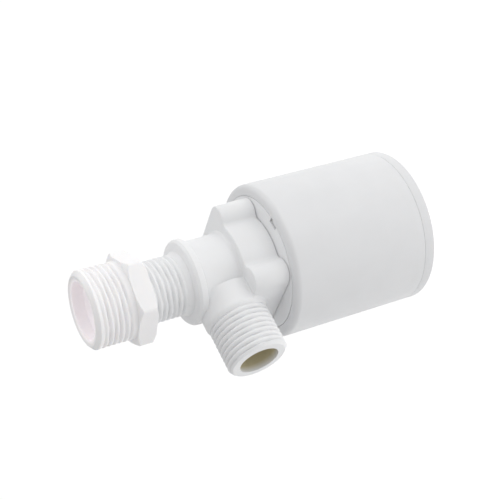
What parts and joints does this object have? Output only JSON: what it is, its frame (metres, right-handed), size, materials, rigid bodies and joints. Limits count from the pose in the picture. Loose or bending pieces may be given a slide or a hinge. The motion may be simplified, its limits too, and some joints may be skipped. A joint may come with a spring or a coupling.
{
  "type": "float valve",
  "caption": "Small plastic tank fill valve: a threaded inlet with a reducing bushing, a side inlet, a diaphragm valve and a hanging float.",
  "frame": {"origin": "centre of the bushing's inlet face", "axes": "+Z along the inlet, out of it; the float hangs towards -Z and the side inlet points to -X"},
  "size_m": [0.0619, 0.0538, 0.1192],
  "materials": {
    "white_plastic": "satin moulded white",
    "bright_plastic": "satin moulded bright white",
    "acetal": "moulded natural",
    "black_rubber": "moulded",
    "stainless": "drawn and turned"
  },
  "bodies": {
    "housing": {"valve_housing": "white_plastic", "bonnet_cover": "white_plastic", "cover_screw_1": "stainless", "cover_screw_2": "stainless", "cover_screw_3": "stainless", "cover_screw_4": "stainless", "diaphragm": "black_rubber", "metering_needle": "stainless", "diaphragm_spring": "stainless", "pilot_seat": "acetal", "lever_pin": "stainless"},
    "adapter_washer": {"adapter_seal_washer": "black_rubber"},
    "adapter": {"adapter_bushing": "bright_plastic"},
    "diaphragm_core": {"diaphragm_plate": "acetal", "diaphragm_guide": "acetal"},
    "lever": {"pilot_lever": "acetal", "pilot_pad": "black_rubber"},
    "float": {"float_shell": "white_plastic", "float_bottom_cap": "white_plastic", "float_well_cup": "white_plastic", "float_hanger": "acetal", "hanger_pin": "stainless"}
  },
  "joints": [
    {"name": "float_lift", "type": "slide", "parent": "housing", "child": "float", "axis": [0, 0, 1], "range_m": [0, 0.005]},
    {"name": "pilot_lever_swing", "type": "hinge", "parent": "housing", "child": "lever", "pos_m": [0.006, 0, -0.0775], "axis": [0, 1, 0], "range_deg": [0, 18.1]},
    {"name": "diaphragm_travel", "type": "slide", "parent": "housing", "child": "diaphragm_core", "axis": [0, 0, -1], "range_m": [0, 0.0025], "stiffness_N_per_m": 120, "springref_m": -0.004, "deforming": ["diaphragm_spring", "diaphragm"]},
    {"name": "adapter_travel", "type": "slide", "parent": "housing", "child": "adapter_washer", "axis": [0, 0, 1], "range_m": [0, 0.0109]},
    {"name": "adapter_turn", "type": "hinge", "parent": "adapter_washer", "child": "adapter", "pos_m": [0, 0, -0.01], "axis": [0, 0, 1], "range_deg": [0, 2170]}
  ],
  "couplings": [
    {"joint": "pilot_lever_swing", "follows": "float_lift", "rad_per_m": 62.83},
    {"joint": "adapter_turn", "follows": "adapter_travel", "rad_per_m": 3463.7}
  ]
}
